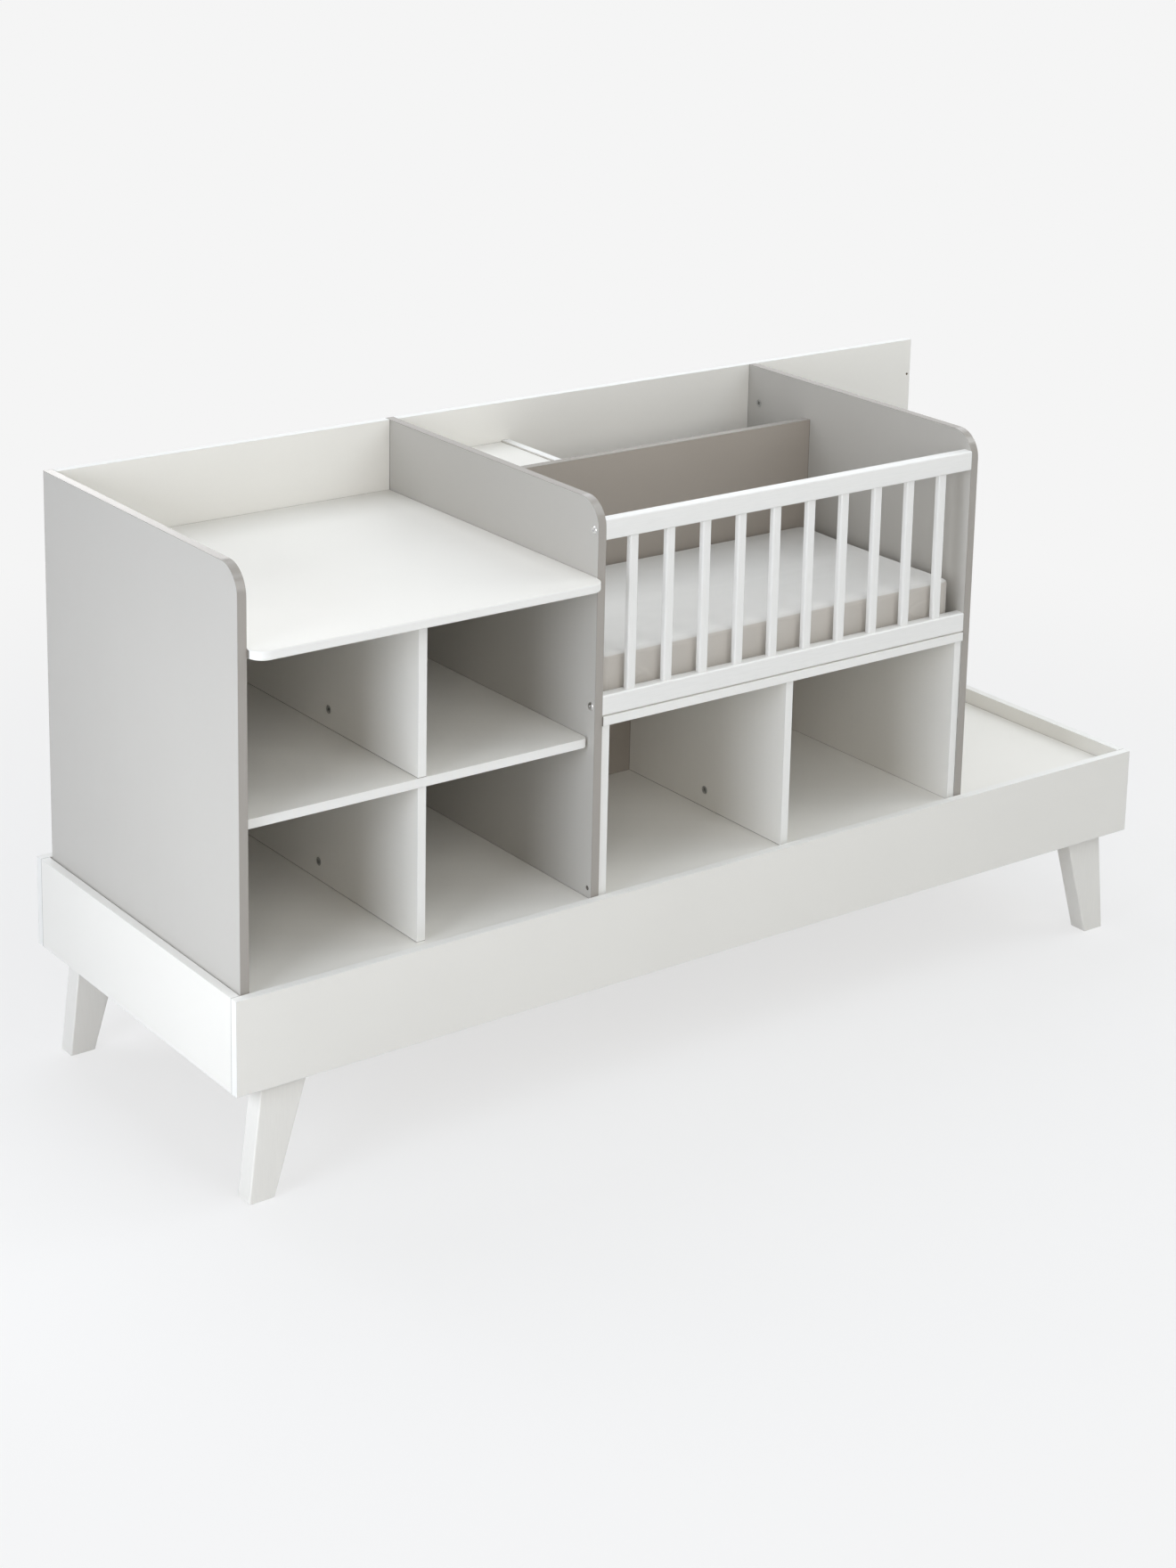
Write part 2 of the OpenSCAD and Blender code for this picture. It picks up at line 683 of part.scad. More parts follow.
module changing_top() {
    color(white) difference() {
        translate([x_changer, y_panel - top_front, z_top])
            eased_top(changer_w, y_back_panel - y_panel + top_front, top_r, ease_r);
        dowel_holes(concat(DOWELS_TOP_L, DOWELS_TOP_R));
    }
}

// ---- crib and niches ----
module crib_base() {
    color(white) difference() {
        block([x_crib, y_panel - base_front, z_base], [x_end, y_partition, z_crib]);
        for (p = DOWELS_UPRIGHT) dowel_upright(p, fit);
    }
}

module niche_side(x, rows) {
    color(white) difference() {
        block([x, y_niche, z_platform], [x + panel_t, y_partition, z_base]);
        dowel_holes(rows);
        for (p = DOWELS_UPRIGHT) if (abs(p[0] - x) < panel_t) dowel_upright(p, fit);
    }
}

module niche_side_left() { niche_side(x_niche, DOWELS_NICHE_L); }
module niche_side_right() { niche_side(x_niche_out, DOWELS_NICHE_R); }

module niche_bottom() {
    color(white) difference() {
        block([x_niche_in, y_niche, z_bottom], [x_niche_out, y_partition, z_floor]);
        dowel_holes(concat(DOWELS_NICHE_L, DOWELS_NICHE_R));
        cam_holes(CAM_NICHE, panel_t);
    }
}

module niche_divider() {
    color(white) difference() {
        block([x_niche_divider, y_niche, z_floor],
              [x_niche_divider + panel_t, y_partition, z_base]);
        cam_holes(CAM_NICHE, panel_t);
    }
}

// ---- rear bay ----
module rear_lid() {
    color(white) difference() {
        block([x_crib, y_bay, z_rear_lid], [x_rear_side, y_back_panel, z_rear_lid + panel_t]);
        dowel_holes(concat(DOWELS_REAR_L, DOWELS_REAR_R));
    }
}

module rear_side() {
    color(white) difference() {
        block([x_rear_side, y_bay, z_platform],
              [x_rear_side + panel_t, y_back_panel, z_rear_lid + panel_t + rear_lip]);
        dowel_holes(DOWELS_REAR_R);
    }
}

// ---- gate ----
bar_pitch = bar_w + bar_gap;
function bar_x(i) = x_crib + crib_w / 2 + (i - 4.5) * bar_pitch;

module bar_solid(i, grow) {
    z0 = z_gate + rail_h - tenon_l - grow;
    z1 = z_gate_top - rail_h + tenon_l + grow;
    translate([bar_x(i), y_gate_mid, z0]) linear_extrude(z1 - z0)
        rounded_section(bar_w + 2 * grow, bar_t + 2 * grow, bar_r + grow);
}

module gate_bar(i) {
    color(white) bar_solid(i, 0);
}

module gate_rail(z) {
    color(white) difference() {
        translate([x_crib, y_gate_mid, z + rail_h / 2]) rotate([90, 0, 90])
            linear_extrude(crib_w) rounded_section(rail_t, rail_h, rail_r);
        for (i = [0:9]) bar_solid(i, fit);
        for (b = concat(BOLTS_LEFT, BOLTS_RIGHT)) bolt_shank(b, fit);
    }
}

module gate_bottom_rail() { gate_rail(z_gate); }
module gate_top_rail() { gate_rail(z_gate_top - rail_h); }

// ---- mattress ----
// Its outline is a rounded rectangle whose sides bow in between the corners.
arc_n = 6;
side_n = 7;
function corner_arc(cx, cy, a0) = [for (i = [0:arc_n])
    [cx + mattress_corner_r * cos(a0 + 90 * i / arc_n),
     cy + mattress_corner_r * sin(a0 + 90 * i / arc_n)]];
function side_points(p, q, inward) = [for (i = [1:side_n])
    let (t = i / (side_n + 1), bow = side_in * (1 - pow(2 * t - 1, 2)))
    p + (q - p) * t + inward * bow];
hx = mattress_l / 2;
hy = mattress_w / 2;
cx = hx - mattress_corner_r;
cy = hy - mattress_corner_r;
OUTLINE = concat(
    corner_arc(cx, cy, 0), side_points([cx, hy], [-cx, hy], [0, -1]),
    corner_arc(-cx, cy, 90), side_points([-hx, cy], [-hx, -cy], [1, 0]),
    corner_arc(-cx, -cy, 180), side_points([-cx, -hy], [cx, -hy], [0, 1]),
    corner_arc(cx, -cy, 270), side_points([hx, -cy], [hx, cy], [-1, 0]));
ring_n = len(OUTLINE);
edge_n = 4;
crown_n = 5;
// Each ring is [how far it is drawn in, height, scale]
RINGS = concat(
    [[mattress_edge_r, 0, 1]],
    [for (i = [1:edge_n]) let (a = 90 * i / edge_n)
        [mattress_edge_r * (1 - sin(a)), mattress_edge_r * (1 - cos(a)), 1]],
    [for (i = [0:edge_n]) let (a = 90 * i / edge_n)
        [mattress_edge_r * (1 - cos(a)), mattress_h - mattress_edge_r * (1 - sin(a)), 1]],
    [for (i = [1:crown_n]) let (s = 1 - i / (crown_n + 1))
        [mattress_edge_r, mattress_h + crown_h * (1 - s * s), s]]);
function ring_point(p, ring) = [
    p[0] * (1 - ring[0] / hx) * ring[2],
    p[1] * (1 - ring[0] / hy) * ring[2],
    ring[1]];

module mattress() {
    rings = len(RINGS);
    points = concat(
        [for (ring = RINGS, p = OUTLINE) ring_point(p, ring)],
        [[0, 0, 0], [0, 0, mattress_h + crown_h]]);
    foot = rings * ring_n;
    wall = [for (r = [0:rings - 2], i = [0:ring_n - 1])
        let (j = (i + 1) % ring_n, a = r * ring_n + i, b = r * ring_n + j)
        each [[a, a + ring_n, b + ring_n], [a, b + ring_n, b]]];
    under = [for (i = [0:ring_n - 1]) [foot, i, (i + 1) % ring_n]];
    crown = [for (i = [0:ring_n - 1])
        [foot + 1, (rings - 1) * ring_n + (i + 1) % ring_n, (rings - 1) * ring_n + i]];
    color(cotton)
        translate([x_end - mattress_end_gap - hx, y_panel + rail_t + crib_d / 2, z_crib + soft_gap])
            polyhedron(points, concat(wall, under, crown));
}

// ---- groups of identical fasteners ----
module gate_bolts() {
    color(steel) for (b = concat(BOLTS_LEFT, BOLTS_RIGHT)) bolt(b);
}

module cam_locks() {
    color(steel) {
        for (c = CAMS_PANEL) cam_lock(c, panel_t);
        for (c = CAMS_FRAME) cam_lock(c, board_t);
    }
}

module cam_studs() {
    color(steel) {
        for (c = CAMS_PANEL) cam_stud(c, panel_t);
        for (c = CAMS_FRAME) cam_stud(c, board_t);
    }
}

module dowels() {
    color(beech) {
        for (p = DOWELS_ALONG_X) dowel_along_x(p, 0);
        for (p = DOWELS_UPRIGHT) dowel_upright(p, 0);
    }
}

module leg_screws() {
    color(steel) for (end = [-1, 1], side = [-1, 1], z = leg_screw_heights) {
        leg_screw(end, side, z, 0);
        leg_screw_head(end, side, z);
    }
}

module batten_screws() {
    color(steel) {
        for (side = [-1, 1], x = long_screws) {
            long_batten_screw(side, x, 0);
            long_batten_head(side, x);
        }
        for (end = [-1, 1], y = short_screws) {
            end_batten_screw(end, y, 0);
            end_batten_head(end, y);
        }
    }
}

frame_front_board();
frame_back_board();
frame_left_board();
frame_right_board();
leg_front_left();
leg_front_right();
leg_back_left();
leg_back_right();
platform_left();
platform_right();
batten_front();
batten_back();
batten_left();
batten_right();
cross_rail_left();
cross_rail_middle();
cross_rail_right();
changer_side_panel();
middle_panel();
changer_back_panel();
changer_bottom();
divider_lower();
changer_shelf();
divider_upper();
changing_top();
crib_end_panel();
long_back_panel();
partition_panel();
crib_base();
niche_bottom();
niche_side_left();
niche_side_right();
niche_divider();
rear_lid();
rear_side();
gate_top_rail();
gate_bottom_rail();
gate_bar(0);  // gate_bar_01
gate_bar(1);  // gate_bar_02
gate_bar(2);  // gate_bar_03
gate_bar(3);  // gate_bar_04
gate_bar(4);  // gate_bar_05
gate_bar(5);  // gate_bar_06
gate_bar(6);  // gate_bar_07
gate_bar(7);  // gate_bar_08
gate_bar(8);  // gate_bar_09
gate_bar(9);  // gate_bar_10
mattress();
gate_bolts();
cam_locks();
cam_studs();
dowels();
leg_screws();
batten_screws();
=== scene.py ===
"""Looks of a crib with attached changer: boards, lacquer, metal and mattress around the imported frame."""

import math

import bmesh
import bpy
from mathutils import Matrix, Vector, noise

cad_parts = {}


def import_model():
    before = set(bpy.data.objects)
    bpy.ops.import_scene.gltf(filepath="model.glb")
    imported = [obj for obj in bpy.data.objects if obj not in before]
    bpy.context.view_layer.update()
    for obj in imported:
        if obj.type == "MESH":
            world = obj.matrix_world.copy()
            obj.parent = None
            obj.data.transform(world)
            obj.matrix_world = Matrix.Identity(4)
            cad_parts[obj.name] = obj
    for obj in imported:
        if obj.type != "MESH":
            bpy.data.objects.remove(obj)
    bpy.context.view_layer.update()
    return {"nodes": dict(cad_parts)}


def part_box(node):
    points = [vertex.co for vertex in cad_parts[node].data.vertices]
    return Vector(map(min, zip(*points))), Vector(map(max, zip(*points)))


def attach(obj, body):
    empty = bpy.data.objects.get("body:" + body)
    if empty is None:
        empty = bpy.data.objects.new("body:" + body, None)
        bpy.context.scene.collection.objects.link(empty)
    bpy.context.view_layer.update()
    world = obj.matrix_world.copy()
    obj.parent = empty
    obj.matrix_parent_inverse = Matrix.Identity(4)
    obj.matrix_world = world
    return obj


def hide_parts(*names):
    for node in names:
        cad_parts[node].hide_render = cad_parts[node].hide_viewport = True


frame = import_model()
scene = bpy.context.scene

# ---- named sizes, in metres ----
MM = 0.001
IMAGE_W, IMAGE_H = 1320, 1760
SENSOR = 36.0                          # millimetres along the image's long side

# The camera, solved from the straight edges in the photograph
CAMERA_PLACE = (-3.0923, -4.0597, 2.3980)
CAMERA_AZIMUTH = -36.707               # degrees
CAMERA_ELEVATION = 13.397
CAMERA_ROLL = 1.215
FOCAL_PX = 3290.3
CENTRE_PX = (669.7, 419.2)             # where the optical axis meets the image

# Colours as linear values; an edge band also has its own roughness
WHITE_BOARD = (0.795, 0.778, 0.732)
WHITE_BAND = ((0.815, 0.808, 0.778), 0.65)
WHITE_LACQUER = (0.818, 0.811, 0.785)  # the gate
WHITE_LEG = (0.797, 0.780, 0.735)
GREY_BOARD = (0.497, 0.481, 0.448)
TAUPE_BAND = ((0.355, 0.331, 0.300), 0.10)
GLUE_TINT = (0.30, 0.28, 0.25)
RUBBED_TINT = (0.42, 0.40, 0.37)
SPOT_TINT = (0.55, 0.53, 0.50)         # spots in the lacquer
CHIPBOARD = (0.300, 0.225, 0.150)
TAUPE_BOARD = (0.355, 0.318, 0.278)
COTTON = (0.650, 0.637, 0.606)
COTTON_SIDE_SHADE = (0.565, 0.532, 0.487)  # the mattress cover's sides, with painted shade: darker and warmer than the top
BEECH_LIGHT = (0.62, 0.44, 0.27)
BEECH_DARK = (0.47, 0.30, 0.16)
ZINC_GREY = (0.46, 0.46, 0.45)
NICKEL_GREY = (0.72, 0.72, 0.72)
BACKGROUND = 0.913

BAND_T = 0.9 * MM                      # thickness of the edge band, seen on a face
GLUE_LINE = 0.16 * MM
EASED = 0.7 * MM                       # radius of a board's arrises
ORANGE_PEEL = 0.02 * MM                # height of the fine texture of the boards
FACE_ROUGHNESS = 0.32
# Noise scales of the boards, in cells per metre
DRIFT, WIPING, RUBBING, MOTTLE, CHIPS, PEEL = 3.1, 19.0, 85.0, 420.0, 600.0, 1150.0
JOINT_GAP = 1.1 * MM                   # width of the dark line where two boards butt
JOINT_SHADE = (0.10, 0.085, 0.065)
TOUCH = 1.5 * MM                       # boards closer than this butt against each other
BOARD_WORDS = ("board", "panel", "platform", "shelf", "divider", "top", "bottom", "base",
               "niche", "lid", "rear_side")


# ---- shader helpers ----
class Graph:
    """A few short calls that add and join shader nodes in one tree."""

    def __init__(self, tree):
        self.nodes = tree.nodes
        self.links = tree.links

    def put(self, value, socket):
        if isinstance(value, bpy.types.NodeSocket):
            self.links.new(value, socket)
        elif value is not None:
            socket.default_value = value

    def add(self, kind, **settings):
        node = self.nodes.new(kind)
        for key, value in settings.items():
            setattr(node, key, value)
        return node

    def math(self, operation, a, b=None, c=None):
        node = self.add("ShaderNodeMath", operation=operation)
        for value, socket in zip((a, b, c), node.inputs):
            self.put(value, socket)
        return node.outputs[0]

    def vector(self, operation, a, b=None):
        node = self.add("ShaderNodeVectorMath", operation=operation)
        self.put(a, node.inputs[0])
        self.put(b, node.inputs[1])
        return node.outputs["Value" if operation in ("DOT_PRODUCT", "LENGTH") else "Vector"]

    def split(self, vector):
        node = self.add("ShaderNodeSeparateXYZ")
        self.put(vector, node.inputs[0])
        return node.outputs

    def least(self, vector):
        """The smallest of a vector's three components."""
        x, y, z = self.split(vector)
        return self.math("MINIMUM", self.math("MINIMUM", x, y), z)

    def mix(self, factor, a, b):
        node = self.add("ShaderNodeMix", data_type="RGBA")
        self.put(factor, node.inputs["Factor"])
        self.put(as_colour(a), node.inputs["A"])
        self.put(as_colour(b), node.inputs["B"])
        return node.outputs["Result"]

    def ramp(self, value, low, high, to_low=0.0, to_high=1.0):
        """A smooth step from to_low to to_high while value goes from low to high."""
        node = self.add("ShaderNodeMapRange", interpolation_type="SMOOTHSTEP")
        for v, socket in zip((value, low, high, to_low, to_high), node.inputs):
            self.put(v, socket)
        return node.outputs["Result"]

    def stretch(self, vector, scale):
        """Texture coordinates scaled along each axis, so that a noise runs along one."""
        node = self.add("ShaderNodeMapping")
        self.put(vector, node.inputs["Vector"])
        node.inputs["Scale"].default_value = scale
        return node.outputs["Vector"]

    def noise(self, vector, scale, detail=3.0, roughness=0.55):
        node = self.add("ShaderNodeTexNoise")
        self.put(vector, node.inputs["Vector"])
        node.inputs["Scale"].default_value = scale
        node.inputs["Detail"].default_value = detail
        node.inputs["Roughness"].default_value = roughness
        return node.outputs["Fac"]

    def bump(self, height, distance, normal=None):
        node = self.add("ShaderNodeBump")
        self.put(height, node.inputs["Height"])
        self.put(normal, node.inputs["Normal"])
        node.inputs["Distance"].default_value = distance
        return node.outputs["Normal"]

    def bevel(self, radius):
        node = self.add("ShaderNodeBevel", samples=6)
        node.inputs["Radius"].default_value = radius
        return node.outputs["Normal"]


def as_colour(value):
    """A colour with its alpha, or the socket itself."""
    return value if isinstance(value, bpy.types.NodeSocket) else (*value, 1.0)


def scaled(colour, k):
    """The colour made darker or lighter by the factor k."""
    return tuple(c * k for c in colour)


def new_material(name):
    """(material, its graph, its shader), with the shader joined to the output."""
    material = bpy.data.materials.new(name)
    material.use_nodes = True
    graph = Graph(material.node_tree)
    return material, graph, material.node_tree.nodes["Principled BSDF"]


# ---- board material ----
def board_group():
    """Melamine faces, an edge band with its glue line, light wear and a fine orange peel.
    Low and High are the board's corners and Axis is the direction of its thickness. Edges
    further than Rim inside the outline are the bare walls of holes. Free Low and Free High
    are 0 for the sides that butt against another board, where painted shade darkens a hairline gap."""
    tree = bpy.data.node_groups.new("board", "ShaderNodeTree")
    for name, kind in (("Low", "Vector"), ("High", "Vector"), ("Axis", "Vector"),
                       ("Free Low", "Vector"), ("Free High", "Vector"),
                       ("Rim", "Float"), ("Face", "Color"), ("Band", "Color"),
                       ("Band Roughness", "Float")):
        tree.interface.new_socket(name, in_out="INPUT", socket_type="NodeSocket" + kind)
    for name, kind in (("Color", "Color"), ("Roughness", "Float"), ("Normal", "Vector")):
        tree.interface.new_socket(name, in_out="OUTPUT", socket_type="NodeSocket" + kind)
    g = Graph(tree)
    given = g.add("NodeGroupInput").outputs
    out = g.add("NodeGroupOutput").inputs
    place = g.add("ShaderNodeTexCoord").outputs
    here = place["Object"]

    # 1 on the two faces, 0 on the edges
    facing = g.math("ABSOLUTE", g.vector("DOT_PRODUCT", place["Normal"], given["Axis"]))
    on_face = g.ramp(facing, 0.6, 0.8)
    from_low = g.vector("SUBTRACT", here, given["Low"])
    from_high = g.vector("SUBTRACT", given["High"], here)
    nearest = g.vector("MINIMUM", from_low, from_high)
    to_rim = g.least(g.vector("ADD", nearest, given["Axis"]))
    through = g.math("ABSOLUTE", g.vector("DOT_PRODUCT", nearest, given["Axis"]))
    face_here = g.math("MULTIPLY", on_face, g.ramp(to_rim, BAND_T - GLUE_LINE, BAND_T))
    glue = g.math("ABSOLUTE", g.math("SUBTRACT", to_rim, BAND_T))
    glue = g.math("MULTIPLY", g.ramp(glue, 0.0, GLUE_LINE, 1.0, 0.0), on_face)

    # Tone: broad drift, fine mottling and faint wiping marks
    drift = g.noise(here, DRIFT, 2.0)
    mottle = g.noise(here, MOTTLE, 2.0)
    wiped = g.noise(g.stretch(here, (1.0, 1.0, 0.25)), WIPING, 4.0, 0.6)
    tone = g.math("MULTIPLY_ADD", drift, 0.05, 0.975)
    tone = g.math("MULTIPLY_ADD", mottle, 0.022, g.math("SUBTRACT", tone, 0.011))
    colour = g.mix(face_here, given["Band"], given["Face"])
    colour = g.mix(g.math("MULTIPLY", glue, 0.30), colour, GLUE_TINT)
    chips = g.mix(g.noise(here, CHIPS, 4.0, 0.7), scaled(CHIPBOARD, 0.4), scaled(CHIPBOARD, 1.5))
    in_hole = g.math("MULTIPLY", g.math("SUBTRACT", 1.0, on_face),
                     g.math("GREATER_THAN", to_rim, given["Rim"]))
    colour = g.mix(in_hole, colour, chips)

    # Wear: small rubbed spots that keep to the arrises
    to_arris = g.math("MINIMUM", to_rim, g.math("ADD", through, on_face))
    rubbed = g.ramp(g.noise(here, RUBBING, 5.0, 0.7), 0.60, 0.74)
    rubbed = g.math("MULTIPLY", rubbed, g.ramp(to_arris, 0.0, 1.3 * MM, 1.0, 0.0))
    colour = g.mix(g.math("MULTIPLY", rubbed, 0.05), colour, RUBBED_TINT)

    # Joints: painted shade of a hairline gap along the butted sides
    to_joint = g.vector("MINIMUM", g.vector("ADD", from_low, given["Free Low"]),
                        g.vector("ADD", from_high, given["Free High"]))
    to_joint = g.least(g.vector("ADD", to_joint, given["Axis"]))
    gap_shade = g.ramp(to_joint, 0.5 * JOINT_GAP, JOINT_GAP, 1.0, 0.0)
    colour = g.mix(g.math("MULTIPLY", gap_shade, 0.9), colour, JOINT_SHADE)
    shade = g.add("ShaderNodeMix", data_type="RGBA", blend_type="MULTIPLY")
    shade.inputs["Factor"].default_value = 1.0
    g.put(colour, shade.inputs["A"])
    g.put(tone, shade.inputs["B"])
    g.put(shade.outputs["Result"], out["Color"])

    worn = g.math("MULTIPLY_ADD", wiped, 0.12, g.math("MULTIPLY", rubbed, 0.15))
    rough = g.ramp(on_face, 0.0, 1.0, given["Band Roughness"], FACE_ROUGHNESS)
    g.put(g.math("ADD", worn, rough), out["Roughness"])

    peel = g.noise(here, PEEL, 1.0)
    step = g.math("MULTIPLY", glue, -1.2)
    height = g.math("ADD", peel, step)
    g.put(g.bump(height, ORANGE_PEEL, g.bevel(EASED)), out["Normal"])
    return tree


BOARD = board_group()
BOARD_BOXES = {name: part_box(name) for name in frame["nodes"]
               if any(word in name for word in BOARD_WORDS)}


def butted_sides(node):
    """Two vectors, for the low and the high sides of a board: 0 where most of the side lies
    against another board, 1 where it is free."""
    low, high = BOARD_BOXES[node]
    free = [Vector((1, 1, 1)), Vector((1, 1, 1))]
    for i in range(3):
        j, k = (i + 1) % 3, (i + 2) % 3
        side = (high[j] - low[j]) * (high[k] - low[k])
        for end, (place, other_end) in enumerate(((low, 1), (high, 0))):
            covered = 0.0
            for other, box in BOARD_BOXES.items():
                if other == node or abs(box[other_end][i] - place[i]) > TOUCH:
                    continue
                wide = min(high[j], box[1][j]) - max(low[j], box[0][j])
                deep = min(high[k], box[1][k]) - max(low[k], box[0][k])
                covered += max(0.0, wide) * max(0.0, deep)
            if covered > 0.5 * side:
                free[end][i] = 0.0
    return free


def board_material(node, face, band, corner_r=0.0):
    """The board material set to one node's box: the thinnest side is the thickness. band is
    a colour and a roughness, and corner_r the largest round corner of the board's outline."""
    low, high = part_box(node)
    size = high - low
    thin = min(range(3), key=lambda i: size[i])
    axis = Vector((0, 0, 0))
    axis[thin] = 1.0
    material, g, shader = new_material("board_" + node)
    group = g.add("ShaderNodeGroup")
    group.node_tree = BOARD
    group.inputs["Low"].default_value = low
    group.inputs["High"].default_value = high
    group.inputs["Axis"].default_value = axis
    free_low, free_high = butted_sides(node)
    group.inputs["Free Low"].default_value = free_low
    group.inputs["Free High"].default_value = free_high
    group.inputs["Rim"].default_value = corner_r * (1 - math.sqrt(0.5)) + 1.5 * BAND_T
    group.inputs["Face"].default_value = as_colour(face)
    band_colour, band_roughness = band
    group.inputs["Band"].default_value = as_colour(band_colour)
    group.inputs["Band Roughness"].default_value = band_roughness
    g.put(group.outputs["Color"], shader.inputs["Base Color"])
    g.put(group.outputs["Roughness"], shader.inputs["Roughness"])
    g.put(group.outputs["Normal"], shader.inputs["Normal"])
    shader.inputs["IOR"].default_value = 1.48
    shader.inputs["Specular IOR Level"].default_value = 0.4
    return material


# ---- other materials ----
def lacquer(name, along, white):
    """White lacquered wood: faint grain along one axis under a satin coat."""
    material, g, shader = new_material(name)
    here = g.add("ShaderNodeTexCoord").outputs["Object"]
    stretch = [60.0, 60.0, 60.0]
    stretch[along] = 3.0
    grain = g.noise(g.stretch(here, stretch), 9.0, 5.0, 0.62)
    drift = g.noise(here, 6.0, 2.0)
    spots = g.ramp(g.noise(here, 130.0, 5.0, 0.7), 0.64, 0.76)
    colour = g.mix(g.ramp(grain, 0.35, 0.75), white, scaled(white, 0.965))
    colour = g.mix(g.math("MULTIPLY", drift, 0.10), colour, scaled(white, 0.90))
    colour = g.mix(g.math("MULTIPLY", spots, 0.05), colour, SPOT_TINT)
    g.put(colour, shader.inputs["Base Color"])
    g.put(g.math("MULTIPLY_ADD", grain, 0.16, 0.26), shader.inputs["Roughness"])
    peel = g.math("ADD", g.math("MULTIPLY", grain, 1.4), g.noise(here, 900.0, 1.0))
    g.put(g.bump(peel, 0.03 * MM, g.bevel(0.5 * MM)), shader.inputs["Normal"])
    shader.inputs["Coat Weight"].default_value = 0.15
    shader.inputs["Coat Roughness"].default_value = 0.22
    return material


def beech(name, along):
    """Plain planed beech with its grain and short dark flecks along one axis."""
    material, g, shader = new_material(name)
    here = g.add("ShaderNodeTexCoord").outputs["Object"]
    stretch = [38.0, 38.0, 38.0]
    stretch[along] = 1.6
    flow = g.stretch(here, stretch)
    grain = g.noise(flow, 3.0, 6.0, 0.62)
    fleck = [260.0, 260.0, 260.0]
    fleck[along] = 26.0
    flecks = g.ramp(g.noise(g.stretch(here, fleck), 1.3, 2.0), 0.62, 0.70)
    colour = g.mix(g.ramp(grain, 0.30, 0.72), BEECH_LIGHT, BEECH_DARK)
    colour = g.mix(g.math("MULTIPLY", flecks, 0.35), colour, scaled(BEECH_DARK, 0.6))
    g.put(colour, shader.inputs["Base Color"])
    g.put(g.math("MULTIPLY_ADD", grain, 0.2, 0.48), shader.inputs["Roughness"])
    g.put(g.bump(grain, 0.12 * MM, g.bevel(0.8 * MM)), shader.inputs["Normal"])
    return material


def metal(name, colour, rough, scuffed):
    """Plated or die-cast metal with fine streaks and darker scuffs. scuffed is how strongly they show."""
    material, g, shader = new_material(name)
    here = g.add("ShaderNodeTexCoord").outputs["Object"]
    streaks = g.noise(g.stretch(here, (900.0, 900.0, 140.0)), 1.0, 3.0)
    scuffs = g.ramp(g.noise(here, 260.0, 4.0, 0.65), 0.50, 0.68)
    tint = g.mix(g.math("MULTIPLY", scuffs, scuffed), colour, scaled(colour, 0.45))
    g.put(tint, shader.inputs["Base Color"])
    shader.inputs["Metallic"].default_value = 1.0
    g.put(g.math("MULTIPLY_ADD", streaks, 0.18, rough), shader.inputs["Roughness"])
    g.put(g.bump(streaks, 0.02 * MM, g.bevel(0.35 * MM)), shader.inputs["Normal"])
    return material


def cotton_cover():
    """Fine plain-weave cotton: two crossed thread waves, soft slubs and a short nap."""
    material, g, shader = new_material("cotton_cover")
    place = g.add("ShaderNodeTexCoord").outputs
    here, normal = place["Object"], place["Normal"]
    threads_per_m = 1300.0

    def threads(direction):
        node = g.add("ShaderNodeTexWave", wave_type="BANDS", bands_direction=direction)
        g.put(here, node.inputs["Vector"])
        node.inputs["Scale"].default_value = threads_per_m / 3.2
        node.inputs["Distortion"].default_value = 0.6
        node.inputs["Detail"].default_value = 1.0
        return node.outputs["Fac"]

    weave = g.math("MULTIPLY", g.math("MAXIMUM", threads("X"), threads("Z")), threads("Y"))
    slub = g.noise(g.stretch(here, (30.0, 420.0, 420.0)), 1.0, 3.0)
    cloud = g.noise(here, 7.0, 3.0)
    # Painted shade: upright surfaces, the sides, take a darker and warmer colour than the top
    flat = g.math("ABSOLUTE", g.split(normal)[2])
    cover = g.mix(g.ramp(flat, 0.55, 0.75), COTTON_SIDE_SHADE, COTTON)
    shades = (g.math("MULTIPLY_ADD", g.ramp(weave, 0.0, 1.0), 0.055, 0.965),
              g.math("MULTIPLY_ADD", slub, -0.025, 1.0), g.math("MULTIPLY_ADD", cloud, 0.03, 0.985))
    tone = g.math("MULTIPLY", g.math("MULTIPLY", shades[0], shades[1]), shades[2])
    colour = g.vector("MULTIPLY", cover, tone)
    g.put(colour, shader.inputs["Base Color"])
    g.put(g.math("MULTIPLY_ADD", cloud, 0.10, 0.80), shader.inputs["Roughness"])
    height = g.math("MULTIPLY_ADD", slub, 0.5, weave)
    g.put(g.bump(height, 0.05 * MM), shader.inputs["Normal"])
    shader.inputs["Sheen Weight"].default_value = 0.45
    shader.inputs["Sheen Roughness"].default_value = 0.35
    return material


# ---- finishes of the CAD nodes ----
ROUND_CORNERS = {"changing_top": 28 * MM, "changer_shelf": 12 * MM}
PANEL_R = 50 * MM


def along_axis(node):
    """The direction of the grain: along the node's longest side."""
    low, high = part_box(node)
    return max(range(3), key=lambda i: (high - low)[i])


def finish_node(name):
    """The material of one CAD node, by its name."""
    if name in ("changer_side_panel", "middle_panel", "crib_end_panel"):
        return board_material(name, GREY_BOARD, TAUPE_BAND, PANEL_R)
    if name == "partition_panel":
        return board_material(name, TAUPE_BOARD, TAUPE_BAND)
    if name.startswith("gate_bar") or name in ("gate_top_rail", "gate_bottom_rail"):
        return LACQUER[along_axis(name)]
    if name.startswith("leg_") and name != "leg_screws":
        return LEG_LACQUER
    if name == "dowels" or name.startswith("cross_rail"):
        return BEECH[along_axis(name)]
    if name.startswith("batten_") and name != "batten_screws":
        return BEECH[along_axis(name)]
    if name == "cam_locks":
        return CAST_ZINC
    if name in ("cam_studs", "gate_bolts", "leg_screws", "batten_screws"):
        return NICKEL
    return board_material(name, WHITE_BOARD, WHITE_BAND, ROUND_CORNERS.get(name, 0.0))


